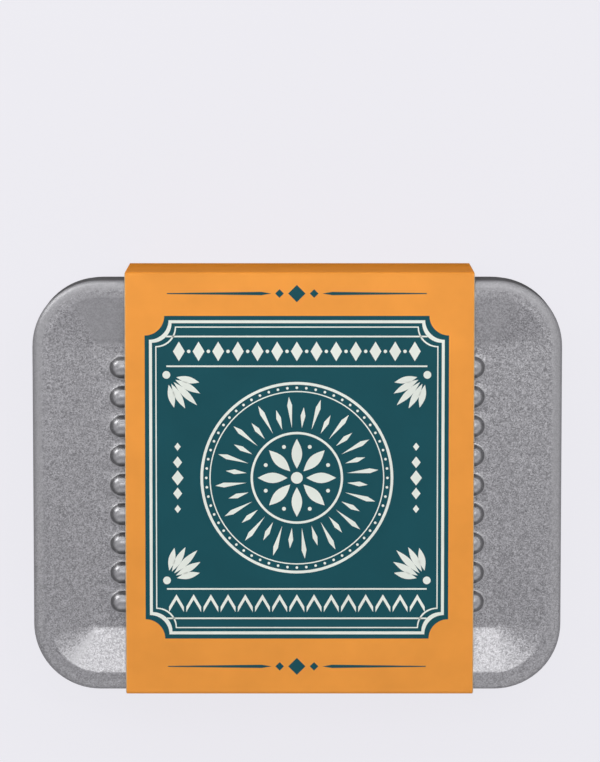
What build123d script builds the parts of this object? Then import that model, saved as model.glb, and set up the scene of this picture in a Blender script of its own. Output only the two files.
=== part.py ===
"""Manicure set case: a hinged pressed-steel tin in a sliding card band.

Inside, a two-layer foam insert holds five steel tools: nail scissors, cuticle nippers,
tweezers, a large and a small nail clipper.

Frame: origin on the bench under the middle of the tin, X along the hinge, Y towards the
hinge, Z up through the lid. All sizes are in millimetres.
"""

import os
from dataclasses import dataclass
from math import cos, radians, sin, tan

from build123d import *

# --- Tin -----------------------------------------------------------------------------
case_length = 135.0
case_width = 105.2
corner_radius = 17.0
sheet = 0.5
lid_height = 12.5
base_height = 17.9
seam_gap = 0.2
crest_width = 4.5
slope_width = 11.2
lid_edge_radius = 2.0
lid_recess = 3.2
base_edge_radius = 3.0
base_recess = 1.5
base_draft = 4.0
neck_height = 2.4
neck_clearance = 0.3

# --- Raised ribs in the lid ------------------------------------------------------------
rib_count = 9
rib_pitch = 7.55
rib_radius = 2.6
rib_length = 95.5

# --- Card band -------------------------------------------------------------------------
card = 0.4
band_width = 89.0
band_shift = 0.6
band_slack = 0.3
band_front_room = 0.55
band_crease_radius = 0.6
glue_flap_width = 16.0
glue_flap_y = 17.0

# --- Hinge -----------------------------------------------------------------------------
hinge_length = 40.0
knuckle_count = 5
knuckle_gap = 0.15
pin_radius = 0.4
pin_clearance = 0.05
knuckle_wall = 0.35
leaf = 0.4
leaf_height = 8.5
hinge_wall_gap = 0.1
pin_head_radius = 0.75
pin_head = 0.4
rivet_count = 3
rivet_pitch = 13.0
rivet_radius = 0.6
rivet_head_radius = 1.1
rivet_head = 0.25
rivet_offset = 5.6

# --- Foam insert -----------------------------------------------------------------------
insert_clearance = 0.2
insert_lift = 0.05
insert_chamfer = 1.5
lower_layer_top = 17.4
insert_top = 21.0
pocket_gap = 1.2
pocket_corner = 3.0
finger_notch_radius = 8.0
finger_notch_depth = 9.0
seat_gap = 0.1

# --- Scissors --------------------------------------------------------------------------
scissors_x = -8.3
scissors_y = -0.7
scissors_tilt = -5.8
scissors_blade_length = 36.7
scissors_blade_width = 4.2
scissors_blade = 1.45
scissors_edge_start = (-7.0, 0.9)
lap_gap = 0.1
scissors_joint_radius = 4.2
scissors_heel = 4.0
scissors_ring_u = 42.5
scissors_ring_v = 11.0
scissors_ring_radius = 9.2
scissors_ring_wire = 1.6
# Circles that a shank's outline is wrapped round, each as place along, place out and radius.
scissors_shank_root = (1.5, 1.2, 3.2)
scissors_shank_middle = (15.0, 4.1, 2.2)
scissors_shank_end = (33.6, 7.9, 1.6)
scissors_shank_half_thickness = 1.28
scissors_screw_radius = 1.3
scissors_screw_head_radius = 2.5
scissors_screw_head = 0.5
scissors_rivet_end = 0.2
scissors_opening = 28.0

# --- Nippers ---------------------------------------------------------------------------
nippers_from_left = 82.5
nippers_from_back = 25.6
nippers_z = 12.6
nippers_spread = 6.0
nippers_half_thickness = 3.9
nippers_handle_half_thickness = 2.6
nippers_joint_radius = 6.2
nippers_jaw_length = 24.4
nippers_jaw_tip = 1.5
nippers_jaw_taper_start = 9.0
# Points on the outside of a jaw and in its throat, each as place along and place out.
nippers_jaw_back = ((5.2, 4.4), (15.0, 5.2), (23.9, 1.1))
nippers_jaw_throat = ((14.5, 0.05), (10.6, 0.7), (7.0, 1.6))
# Circles that the lapped bridges from joint to jaw and handle are wrapped round.
nippers_jaw_bridge = ((3.0, 2.4, 3.0), (9.0, 3.0, 1.9))
nippers_handle_bridge = ((-3.0, 2.4, 3.0), (-9.4, 4.4, 2.0))
nippers_handle_root = ((-4.6, 5.0), (-7.0, 0.9))
nippers_handle_length = 73.0
nippers_handle_bow = 13.6
nippers_handle_end = 9.6
nippers_handle_tip_width = 3.4
nippers_handle_mid_width = 4.4
nippers_edge_radius = 1.0
nippers_pin_radius = 2.1
nippers_pin_head_radius = 4.0
nippers_pin_head = 0.6
spring_strip = 0.7
spring_height = 4.0
spring_foot_length = 7.0
spring_foot_depth = 2.0
spring_foot_u = -37.0
spring_foot_v = -9.1
spring_middle = (-24.0, -4.4)
spring_tip = (-14.0, 0.8)
spring_tip_taper = 0.4

# --- Tweezers --------------------------------------------------------------------------
tweezers_from_right = 26.5
tweezers_from_front = 10.2
tweezers_z = 12.9
tweezers_length = 90.0
tweezers_strip = 1.2
tweezers_bow = 4.0
tweezers_tip_gap = 2.6
tweezers_tail_height = 4.6
tweezers_grip_height = 8.0
tweezers_tip_height = 2.6
tweezers_bow_share = 0.55
tweezers_grip_shares = (0.2, 0.58)
tweezers_shoulder_radius = 6.0
tweezers_tip_bevel = 1.0

# --- Clippers --------------------------------------------------------------------------
@dataclass
class Clipper:
    """Sizes of one nail clipper; heights run from the underside of the lower arm."""

    name: str
    place: tuple
    heading: float
    length: float
    width: float
    tail_width: float
    strip: float
    jaw_height: float
    bite_height: float
    jaw_gap: float
    jaw_curve: float
    post_from_jaws: float
    post_radius: float
    post_head: float
    pin_height: float
    pin_radius: float
    rivet_from_tail: float
    rivet_radius: float
    lever_tail_height: float
    lever_width: float


# Places of the clippers' jaws, measured in from the tin's sides and front.
large_clipper_from_left = 8.5
large_clipper_from_front = 26.0
small_clipper_from_right = 5.5
small_clipper_from_front = 15.6

large_clipper = Clipper(
    name="large_clipper",
    place=(
        large_clipper_from_left - case_length / 2,
        large_clipper_from_front - case_width / 2,
    ),
    heading=0.0,
    length=78.0,
    width=13.0,
    tail_width=10.0,
    strip=1.7,
    jaw_height=8.4,
    bite_height=4.2,
    jaw_gap=0.9,
    jaw_curve=14.0,
    post_from_jaws=13.0,
    post_radius=1.6,
    post_head=0.8,
    pin_height=10.8,
    pin_radius=0.8,
    rivet_from_tail=5.0,
    rivet_radius=1.2,
    lever_tail_height=12.3,
    lever_width=11.5,
)
small_clipper = Clipper(
    name="small_clipper",
    place=(
        case_length / 2 - small_clipper_from_right,
        small_clipper_from_front - case_width / 2,
    ),
    heading=90.0,
    length=57.0,
    width=11.0,
    tail_width=8.0,
    strip=1.4,
    jaw_height=7.0,
    bite_height=3.5,
    jaw_gap=0.8,
    jaw_curve=12.0,
    post_from_jaws=10.5,
    post_radius=1.35,
    post_head=0.7,
    pin_height=9.0,
    pin_radius=0.7,
    rivet_from_tail=4.0,
    rivet_radius=1.0,
    lever_tail_height=10.3,
    lever_width=9.5,
)
clipper_bearing_gap = 0.1
clipper_cutting_edge = 0.8

# --- Worked-out levels and places --------------------------------------------------------
case_bottom = card + band_slack
base_rim = case_bottom + base_height
lid_bottom = base_rim + seam_gap
case_top = lid_bottom + lid_height
band_top = case_top + band_slack + card
neck_inset = sheet + neck_clearance
knuckle_radius = pin_radius + pin_clearance + knuckle_wall
hinge_y = case_width / 2 + hinge_wall_gap + knuckle_radius
hinge_z = base_rim + seam_gap / 2
band_front = -case_width / 2 - band_front_room - card
band_back = hinge_y + knuckle_radius + band_slack / 2 + card
floor_top = case_bottom + base_recess + sheet
nippers_x = nippers_from_left - case_length / 2
nippers_y = case_width / 2 - nippers_from_back
tweezers_x = case_length / 2 - tweezers_from_right
tweezers_y = tweezers_from_front - case_width / 2
rib_rows = [rib_pitch * (row - (rib_count - 1) / 2) for row in range(rib_count)]
scissors_z = lower_layer_top + scissors_ring_wire + 2 * seat_gap
tweezers_floor = tweezers_z - tweezers_grip_height / 2 - seat_gap
nippers_floor = nippers_z - nippers_half_thickness - nippers_pin_head - seat_gap
nippers_handle_floor = nippers_z - nippers_handle_half_thickness - seat_gap
insert_bottom = floor_top + insert_lift
insert_inset = (base_rim - insert_bottom) * tan(radians(base_draft)) + sheet + insert_clearance

os.makedirs("parts", exist_ok=True)


def keep(part, name):
    """Label a finished piece and write its STEP file."""
    part.label = name
    export_step(part, f"parts/{name}.step")


def turned(origin, degrees):
    """Plane level with the bench at origin, its x direction turned by degrees."""
    angle = radians(degrees)
    return Plane(origin=origin, x_dir=(cos(angle), sin(angle), 0), z_dir=(0, 0, 1))


def rivet_places(up):
    """X and Z of the rivets of one leaf."""
    first = -rivet_pitch * (rivet_count - 1) / 2
    return [(first + rivet_pitch * i, hinge_z + up * rivet_offset) for i in range(rivet_count)]


def leaned(part):
    """The part swung in about the hinge pin by the base's draft, onto its leaning back wall."""
    return part.rotate(Axis((0, hinge_y, hinge_z), (1, 0, 0)), -base_draft)


# Y of the back walls' outsides. The base's is where its leaning wall would stand if it were
# swung upright about the pin, so what is made against it there fits once leaned.
lid_wall_y = case_width / 2
base_wall_y = (
    hinge_y
    - (hinge_y - lid_wall_y) * cos(radians(base_draft))
    + (hinge_z - base_rim) * sin(radians(base_draft))
)


# --- Pressed shells ----------------------------------------------------------------------
def case_outline(inset):
    """Rounded rectangle that runs inside the case's outline at an inset all round."""
    return RectangleRounded(case_length - 2 * inset, case_width - 2 * inset, corner_radius - inset)


def pan_form(skin, height, edge_radius, recess, mouth=0.0, draft=0.0, ribs=()):
    """Solid inside a pressed pan with its crest up, drawn in by skin all over.

    Its walls lean in by draft degrees on the way from its mouth to its crest.
    """
    top = height - skin
    lean = tan(radians(draft))
    with BuildPart() as form:
        with BuildSketch(Plane.XY.offset(mouth)):
            case_outline(skin + mouth * lean)
        extrude(amount=top - mouth, taper=draft)
        fillet(form.faces().sort_by(Axis.Z)[-1].edges(), edge_radius - skin)
        with BuildSketch(Plane.XY.offset(top)):
            case_outline(crest_width + height * lean)
        with BuildSketch(Plane.XY.offset(top - recess)):
            case_outline(crest_width + slope_width)
        loft(ruled=True, mode=Mode.SUBTRACT)
        if ribs:
            rib_level = height - recess
            end_x = rib_length / 2 - rib_radius
            with Locations(*[(0, y, rib_level) for y in ribs]):
                Cylinder(rib_radius - skin, 2 * end_x, rotation=(0, 90, 0))
            with Locations(*[(x, y, rib_level) for y in ribs for x in (-end_x, end_x)]):
                Sphere(rib_radius - skin)
    return form.part


lid_outside = pan_form(0.0, lid_height, lid_edge_radius, lid_recess, ribs=rib_rows)
lid_inside = pan_form(sheet, lid_height, lid_edge_radius, lid_recess, ribs=rib_rows)
with BuildPart() as lid_shell:
    with Locations((0, 0, lid_bottom)):
        add(lid_outside)
        add(lid_inside, mode=Mode.SUBTRACT)
    with BuildSketch(Plane.XZ.offset(-lid_wall_y)):
        with Locations(*rivet_places(1)):
            Circle(rivet_radius)
    extrude(amount=2 * sheet, mode=Mode.SUBTRACT)
keep(lid_shell.part, "lid_shell")

base_outside = pan_form(0.0, base_height, base_edge_radius, base_recess, draft=base_draft)
base_inside = pan_form(
    sheet, base_height, base_edge_radius, base_recess, mouth=sheet, draft=base_draft
)
with BuildPart() as base_rivet_bores:
    with BuildSketch(Plane.XZ.offset(-base_wall_y)):
        with Locations(*rivet_places(-1)):
            Circle(rivet_radius)
    extrude(amount=2 * sheet)
with BuildPart() as base_shell:
    with Locations(Location((0, 0, base_rim), (180, 0, 0))):
        add(base_outside)
    with BuildSketch(Plane.XY.offset(base_rim)):
        case_outline(neck_inset)
    extrude(amount=neck_height)
    with Locations(Location((0, 0, base_rim), (180, 0, 0))):
        add(base_inside, mode=Mode.SUBTRACT)
    with BuildSketch(Plane.XY.offset(base_rim - sheet)):
        case_outline(neck_inset + sheet)
    extrude(amount=sheet + neck_height, mode=Mode.SUBTRACT)
    add(leaned(base_rivet_bores.part), mode=Mode.SUBTRACT)
keep(base_shell.part, "base_shell")


# --- Card band ---------------------------------------------------------------------------
with BuildPart() as card_band:
    band_depth = band_back - band_front
    band_centre = ((band_back + band_front) / 2, band_top / 2)
    with BuildSketch(Plane.YZ.offset(band_shift - band_width / 2)):
        with Locations(band_centre):
            RectangleRounded(band_depth, band_top, band_crease_radius)
            RectangleRounded(
                band_depth - 2 * card,
                band_top - 2 * card,
                band_crease_radius - card,
                mode=Mode.SUBTRACT,
            )
        with Locations((glue_flap_y, 1.5 * card)):
            Rectangle(glue_flap_width, card)
    extrude(amount=band_width)
keep(card_band.part, "card_band")


# --- Hinge -------------------------------------------------------------------------------
def knuckle_spans(first):
    """Start and length along X of every second knuckle, counted from first."""
    pitch = hinge_length / knuckle_count
    spans = []
    for knuckle in range(first, knuckle_count, 2):
        start = -hinge_length / 2 + knuckle * pitch + knuckle_gap / 2
        spans.append((start, pitch - knuckle_gap))
    return spans


def hinge_leaf(up, first, wall_y):
    """Leaf lying on a back wall, above (up = 1) or below (up = -1) the pin, with its knuckles."""
    notch = knuckle_radius + knuckle_gap
    with BuildPart() as hinge:
        with BuildSketch(Plane.XZ.offset(-wall_y)):
            with Locations((0, hinge_z + up * (notch + leaf_height) / 2)):
                Rectangle(hinge_length, leaf_height - notch)
        extrude(amount=-leaf)
        for start, length in knuckle_spans(first):
            with BuildSketch(Plane.YZ.offset(start)):
                with Locations((hinge_y, hinge_z)):
                    Circle(knuckle_radius)
                with Locations((wall_y + leaf / 2, hinge_z + up * (notch + leaf) / 2)):
                    Rectangle(leaf, notch + leaf)
                with Locations((hinge_y, hinge_z)):
                    Circle(pin_radius + pin_clearance, mode=Mode.SUBTRACT)
            extrude(amount=length)
        with BuildSketch(Plane.XZ.offset(-wall_y)):
            with Locations(*rivet_places(up)):
                Circle(rivet_radius)
        extrude(amount=-leaf, mode=Mode.SUBTRACT)
    return hinge.part


def hinge_rivets(up, wall_y):
    """Rivets of one leaf: a shank through wall and leaf, with a flat head at each end."""
    with BuildPart() as rivets:
        with BuildSketch(Plane.XZ.offset(-wall_y - leaf)):
            with Locations(*rivet_places(up)):
                Circle(rivet_radius)
        extrude(amount=leaf + sheet)
        with BuildSketch(Plane.XZ.offset(-wall_y - leaf)):
            with Locations(*rivet_places(up)):
                Circle(rivet_head_radius)
        extrude(amount=-rivet_head, taper=30)
        with BuildSketch(Plane.XZ.offset(sheet - wall_y)):
            with Locations(*rivet_places(up)):
                Circle(rivet_head_radius)
        extrude(amount=rivet_head, taper=30)
    return rivets.part


keep(hinge_leaf(1, 1, lid_wall_y), "lid_hinge_leaf")
keep(leaned(hinge_leaf(-1, 0, base_wall_y)), "base_hinge_leaf")
keep(hinge_rivets(1, lid_wall_y), "lid_hinge_rivets")
keep(leaned(hinge_rivets(-1, base_wall_y)), "base_hinge_rivets")

with BuildPart() as hinge_pin:
    with BuildSketch(Plane.YZ.offset(-hinge_length / 2)):
        with Locations((hinge_y, hinge_z)):
            Circle(pin_radius)
    extrude(amount=hinge_length)
    for end in (-1, 1):
        with BuildSketch(Plane.YZ.offset(end * hinge_length / 2)):
            with Locations((hinge_y, hinge_z)):
                Circle(pin_head_radius)
        extrude(amount=end * pin_head)
    for end in (0, -1):
        fillet(hinge_pin.faces().sort_by(Axis.X)[end].edges(), pin_head / 2)
keep(hinge_pin.part, "hinge_pin")


# --- Scissors ----------------------------------------------------------------------------
scissors_plane = turned((scissors_x, scissors_y, scissors_z), scissors_tilt)


def shank_outline(side, *wraps):
    """Outline wrapped round circles given as place along, place out towards side, and radius."""
    with BuildSketch() as outline:
        for along, out, radius in wraps:
            with Locations((along, side * out)):
                Circle(radius)
        make_hull()
    return outline.sketch


def scissors_half(side):
    """One half: its blade on -side, its finger ring on +side. The side = 1 half lies below."""
    lap = scissors_plane.offset(-side * lap_gap / 2)
    tip = (-scissors_blade_length, 0)
    edge_u, edge_v = scissors_edge_start
    heel_u = scissors_joint_radius / 2
    heel_v = side * scissors_heel
    ring_place = Location((scissors_ring_u, side * scissors_ring_v, 0))
    thin_shank = shank_outline(side, scissors_shank_root, scissors_shank_end)
    round_shank = shank_outline(side, scissors_shank_middle, scissors_shank_end)
    with BuildPart() as half:
        with BuildSketch(lap):
            with BuildLine():
                ThreePointArc(
                    (heel_u, -heel_v),
                    (-scissors_blade_length / 2, -side * scissors_blade_width),
                    tip,
                )
                Polyline(tip, (edge_u, side * edge_v), (-heel_u / 2, heel_v), (heel_u, -heel_v))
            make_face()
            Circle(scissors_joint_radius)
            add(thin_shank)
        extrude(amount=-side * scissors_blade)
        with BuildSketch(scissors_plane):
            add(round_shank)
        extrude(amount=scissors_shank_half_thickness, both=True)
        with Locations(scissors_plane.location * ring_place):
            Torus(scissors_ring_radius, scissors_ring_wire)
        with BuildSketch(scissors_plane):
            Circle(scissors_screw_radius + pin_clearance)
        extrude(amount=2 * scissors_blade, both=True, mode=Mode.SUBTRACT)
    return half.part


keep(scissors_half(1), "scissors_lower_half")
keep(scissors_half(-1), "scissors_upper_half")

with BuildPart() as scissors_screw:
    stack = scissors_blade + lap_gap / 2
    with BuildSketch(scissors_plane.offset(-stack)):
        Circle(scissors_screw_radius)
    extrude(amount=2 * stack)
    with BuildSketch(scissors_plane.offset(stack)):
        Circle(scissors_screw_head_radius)
    extrude(amount=scissors_screw_head)
    chamfer(scissors_screw.faces().sort_by(Axis.Z)[-1].edges(), scissors_screw_head / 2)
    with BuildSketch(scissors_plane.offset(-stack)):
        Circle(scissors_screw_head_radius - scissors_rivet_end)
    extrude(amount=-scissors_rivet_end)
keep(scissors_screw.part, "scissors_screw")


# --- Cuticle nippers ---------------------------------------------------------------------
def nippers_plane(side):
    """Plane of one half at rest, where the spring holds it open by nippers_spread."""
    return turned((nippers_x, nippers_y, nippers_z), side * nippers_spread)


def mirrored(points, side):
    """Points given as place along and place out, with out turned towards side."""
    return [(along, side * out) for along, out in points]


def nippers_handle(side):
    """Bowed handle lying towards side, its long edges rounded."""
    root_out, root_in = mirrored(nippers_handle_root, side)
    end_u = -nippers_handle_length
    end_out = side * nippers_handle_end
    end_in = end_out - side * nippers_handle_tip_width
    mid_out = side * nippers_handle_bow
    mid_in = mid_out - side * nippers_handle_mid_width
    with BuildPart() as handle:
        with BuildSketch():
            with BuildLine():
                ThreePointArc(root_out, (end_u / 2, mid_out), (end_u, end_out))
                ThreePointArc(
                    (end_u, end_out),
                    (end_u - nippers_handle_tip_width / 2, (end_out + end_in) / 2),
                    (end_u, end_in),
                )
                ThreePointArc((end_u, end_in), (end_u / 2, mid_in), root_in)
                Line(root_in, root_out)
            make_face()
        extrude(amount=nippers_handle_half_thickness, both=True)
        long_edges = handle.edges().filter_by(lambda edge: edge.length > nippers_joint_radius)
        fillet(long_edges, nippers_edge_radius)
    return handle.part


def nippers_half(side):
    """One half drawn as when closed: its jaw on +side, its handle on -side, lapped below for 1."""
    plane = nippers_plane(side)
    side_view = Plane(origin=plane.origin, x_dir=plane.x_dir, z_dir=-plane.y_dir)
    lap = plane.offset(-side * lap_gap / 2)
    back = mirrored(nippers_jaw_back, side)
    throat = mirrored(nippers_jaw_throat, side)
    jaw_end_u = nippers_jaw_length + nippers_jaw_tip
    handle = nippers_handle(-side)
    bridges = [shank_outline(side, *nippers_jaw_bridge), shank_outline(-side, *nippers_handle_bridge)]
    with BuildPart() as half:
        with BuildSketch(plane):
            with BuildLine():
                ThreePointArc(*back)
                Polyline(back[-1], (nippers_jaw_length, side * lap_gap / 2), throat[0])
                ThreePointArc(*throat)
                Line(throat[-1], back[0])
            make_face()
        extrude(amount=nippers_half_thickness, both=True)
        with BuildSketch(side_view):
            with BuildLine():
                Polyline(
                    (0, -nippers_half_thickness),
                    (nippers_jaw_taper_start, -nippers_half_thickness),
                    (jaw_end_u, -nippers_jaw_tip),
                    (jaw_end_u, nippers_jaw_tip),
                    (nippers_jaw_taper_start, nippers_half_thickness),
                    (0, nippers_half_thickness),
                    close=True,
                )
            make_face()
        extrude(amount=4 * nippers_joint_radius, both=True, mode=Mode.INTERSECT)
        with Locations(plane.location):
            add(handle)
        with BuildSketch(lap):
            Circle(nippers_joint_radius)
            add(bridges)
        extrude(amount=-side * (nippers_half_thickness - lap_gap / 2))
        with BuildSketch(plane):
            Circle(nippers_pin_radius + pin_clearance)
        extrude(amount=2 * nippers_half_thickness, both=True, mode=Mode.SUBTRACT)
        with BuildSketch(plane):
            with Locations((spring_foot_u, side * spring_foot_v)):
                Rectangle(spring_foot_length, spring_foot_depth)
        extrude(amount=spring_height / 2, both=True, mode=Mode.SUBTRACT)
    return half.part


def nippers_spring(side):
    """Leaf spring let into one handle, curving in until its tip nearly meets the other leaf."""
    leaf_u = spring_foot_u + spring_foot_length / 2
    leaf_v = spring_foot_v + spring_foot_depth / 2
    middle_u, middle_v = spring_middle
    tip_u, tip_v = spring_tip
    upper = mirrored(((leaf_u, leaf_v), spring_middle, spring_tip), side)
    lower = mirrored(
        (
            (tip_u + spring_tip_taper, tip_v - spring_strip),
            (middle_u + spring_tip_taper, middle_v - spring_strip),
            (leaf_u, leaf_v - spring_strip),
        ),
        side,
    )
    with BuildPart() as spring:
        with BuildSketch(nippers_plane(side)):
            with Locations((spring_foot_u, side * spring_foot_v)):
                Rectangle(spring_foot_length, spring_foot_depth)
            with BuildLine():
                ThreePointArc(*upper)
                Line(upper[-1], lower[0])
                ThreePointArc(*lower)
                Line(lower[-1], upper[0])
            make_face()
        extrude(amount=spring_height / 2, both=True)
    return spring.part


keep(nippers_half(1), "nippers_lower_half")
keep(nippers_half(-1), "nippers_upper_half")
keep(nippers_spring(1), "nippers_lower_spring")
keep(nippers_spring(-1), "nippers_upper_spring")

with BuildPart() as nippers_pin:
    pin_plane = nippers_plane(0)
    with BuildSketch(pin_plane):
        Circle(nippers_pin_radius)
    extrude(amount=nippers_half_thickness, both=True)
    for end in (-1, 1):
        with BuildSketch(pin_plane.offset(end * nippers_half_thickness)):
            Circle(nippers_pin_head_radius)
        extrude(amount=end * nippers_pin_head)
    for end in (0, -1):
        chamfer(nippers_pin.faces().sort_by(Axis.Z)[end].edges(), nippers_pin_head / 2)
keep(nippers_pin.part, "nippers_pin")


# --- Tweezers ----------------------------------------------------------------------------
tweezers_plane = turned((tweezers_x, tweezers_y, tweezers_z), 180)


def tweezers_arm(side):
    """Spring-steel arm, its tail flat on the other arm's, bowed to +side, grip wider than tip."""
    length = tweezers_length
    inner_v = (seat_gap / 2, tweezers_bow, tweezers_tip_gap)
    bow_u = tweezers_bow_share * length
    grip_start, grip_end = (share * length for share in tweezers_grip_shares)
    inner = mirrored(zip((0, bow_u, length), inner_v), side)
    outer = mirrored(
        ((u, v + tweezers_strip) for u, v in zip((0, bow_u, length - tweezers_tip_bevel), inner_v)),
        side,
    )
    side_view = Plane(
        origin=tweezers_plane.origin, x_dir=tweezers_plane.x_dir, z_dir=-tweezers_plane.y_dir
    )
    with BuildPart() as arm:
        with BuildSketch(tweezers_plane):
            with BuildLine():
                ThreePointArc(*inner)
                Line(inner[-1], outer[-1])
                ThreePointArc(*reversed(outer))
                Line(outer[0], inner[0])
            make_face()
        extrude(amount=tweezers_grip_height / 2, both=True)
        with BuildSketch(side_view) as profile:
            with BuildLine():
                Polyline(
                    (0, -tweezers_tail_height / 2),
                    (grip_start, -tweezers_grip_height / 2),
                    (grip_end, -tweezers_grip_height / 2),
                    (length, -tweezers_tip_height / 2),
                    (length - tweezers_tip_height, tweezers_tip_height / 2),
                    (grip_end, tweezers_grip_height / 2),
                    (grip_start, tweezers_grip_height / 2),
                    (0, tweezers_tail_height / 2),
                    close=True,
                )
            make_face()
            fillet(profile.vertices().sort_by(Axis.X)[2:6], tweezers_shoulder_radius)
        extrude(amount=2 * tweezers_bow + 4 * tweezers_strip, both=True, mode=Mode.INTERSECT)
    return arm.part


keep(tweezers_arm(1), "tweezers_fixed_arm")
keep(tweezers_arm(-1), "tweezers_moving_arm")


# --- Nail clippers -----------------------------------------------------------------------
def clipper_plane(clipper):
    """Plane of a clipper lying on its side: x from jaws to tail, y from lower arm to lever."""
    x, y = clipper.place
    return turned((x, y, lower_layer_top - seat_gap - clipper.width / 2), clipper.heading)


def seen_from_above(clipper):
    """Plane that looks along the clipper's y, on the underside of its lower arm."""
    plane = clipper_plane(clipper)
    return Plane(origin=plane.origin, x_dir=plane.x_dir, z_dir=plane.y_dir)


def arm_outline(clipper):
    """Solid of the arms' outline seen from above: a tapered strip with a concave cutting edge."""
    plan = seen_from_above(clipper)
    with BuildPart() as outline:
        with BuildSketch(plan.offset(-clipper.length)):
            with Locations((clipper.width / 2, 0)):
                Rectangle(clipper.width, clipper.width)
            with Locations((clipper.length - clipper.tail_width / 2, 0)):
                Circle(clipper.tail_width / 2)
            make_hull()
            with Locations((clipper_cutting_edge - clipper.jaw_curve, 0)):
                Circle(clipper.jaw_curve, mode=Mode.SUBTRACT)
        extrude(amount=2 * clipper.length)
    return outline.part


def lever_outline(clipper):
    """Solid of the lever's outline seen from above: narrow at the post, widest past its middle."""
    plan = seen_from_above(clipper)
    wide_u = 0.6 * clipper.length
    tip_radius = 0.3 * clipper.lever_width
    with BuildPart() as outline:
        with BuildSketch(plan.offset(-clipper.length)):
            with Locations((clipper.post_from_jaws, 0)):
                Circle(2.4 * clipper.post_radius)
            with Locations((wide_u, 0)):
                Circle(clipper.lever_width / 2)
            make_hull()
        with BuildSketch(plan.offset(-clipper.length)):
            with Locations((wide_u, 0)):
                Circle(clipper.lever_width / 2)
            with Locations((clipper.length - tip_radius, 0)):
                Circle(tip_radius)
            make_hull()
        extrude(amount=2 * clipper.length)
    return outline.part


def clipper_arm(clipper, profile, play):
    """Arm of the clipper: its side profile across the width, trimmed to the outline and bored.

    Its holes clear the post by three times the play, and the tail rivet by the play itself.
    """
    plan = seen_from_above(clipper)
    outline = arm_outline(clipper)
    with BuildPart() as arm:
        with BuildSketch(clipper_plane(clipper)):
            with BuildLine():
                Polyline(*profile, close=True)
            make_face()
        extrude(amount=clipper.width / 2, both=True)
        add(outline, mode=Mode.INTERSECT)
        with BuildSketch(plan.offset(-clipper.length)):
            with Locations((clipper.post_from_jaws, 0)):
                Circle(clipper.post_radius + 3 * play)
            with Locations((clipper.length - clipper.rivet_from_tail, 0)):
                Circle(clipper.rivet_radius + play)
        extrude(amount=2 * clipper.length, mode=Mode.SUBTRACT)
    return arm.part


def clipper_lower_arm(clipper):
    """Straight arm whose end is bent up into the lower jaw."""
    strip = clipper.strip
    bite = clipper.bite_height - clipper.jaw_gap / 2
    profile = [
        (0, 0.3 * strip),
        (0, bite),
        (clipper_cutting_edge, bite - clipper_cutting_edge / 2),
        (2.4 * strip, strip),
        (clipper.length, strip),
        (clipper.length, 0),
        (0.3 * strip, 0),
    ]
    return clipper_arm(clipper, profile, 0.0)


def clipper_upper_arm(clipper):
    """Arm that springs up from the tail, its end bent down into the upper jaw."""
    strip = clipper.strip
    bite = clipper.bite_height + clipper.jaw_gap / 2
    top = clipper.jaw_height
    bend_u = clipper.length - 2 * clipper.rivet_from_tail
    profile = [
        (clipper.length, 2 * strip),
        (clipper.length, strip),
        (bend_u, strip),
        (2.4 * strip, top - strip),
        (clipper_cutting_edge, bite + clipper_cutting_edge / 2),
        (0, bite),
        (0, top - 0.3 * strip),
        (0.3 * strip, top),
        (2.4 * strip, top),
        (bend_u, 2 * strip),
    ]
    return clipper_arm(clipper, profile, clipper_bearing_gap)


def clipper_tail_rivet(clipper):
    """Rivet that holds the arms together at the tail, with play for the upper arm to bend."""
    plan = seen_from_above(clipper)
    place = (clipper.length - clipper.rivet_from_tail, 0)
    stack = 2 * clipper.strip + clipper_bearing_gap
    with BuildPart() as rivet:
        with BuildSketch(plan):
            with Locations(place):
                Circle(clipper.rivet_radius)
        extrude(amount=stack)
        for level, way in ((0, -1), (stack, 1)):
            with BuildSketch(plan.offset(level)):
                with Locations(place):
                    Circle(1.7 * clipper.rivet_radius)
            extrude(amount=way * rivet_head, taper=30)
    return rivet.part


def clipper_post(clipper):
    """Post that ties the lever to the lower arm, headed below and cross-drilled for its pin."""
    plan = seen_from_above(clipper)
    place = (clipper.post_from_jaws, 0)
    with BuildPart() as post:
        with BuildSketch(plan):
            with Locations(place):
                Circle(clipper.post_radius)
        extrude(amount=clipper.pin_height + 2 * clipper.pin_radius)
        with BuildSketch(plan):
            with Locations(place):
                Circle(1.7 * clipper.post_radius)
        extrude(amount=-clipper.post_head, taper=20)
        with BuildSketch(clipper_plane(clipper)):
            with Locations((clipper.post_from_jaws, clipper.pin_height)):
                Circle(clipper.pin_radius)
        extrude(amount=clipper.width, both=True, mode=Mode.SUBTRACT)
        top = post.faces().sort_by(Axis(plan.origin, plan.z_dir))[-1]
        fillet(top.edges(), clipper.pin_radius / 2)
    return post.part


def clipper_cross_pin(clipper):
    """Pin through the post that the lever hooks under."""
    with BuildPart() as pin:
        with BuildSketch(clipper_plane(clipper)):
            with Locations((clipper.post_from_jaws, clipper.pin_height)):
                Circle(clipper.pin_radius)
        extrude(amount=2 * clipper.post_radius, both=True)
    return pin.part


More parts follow.
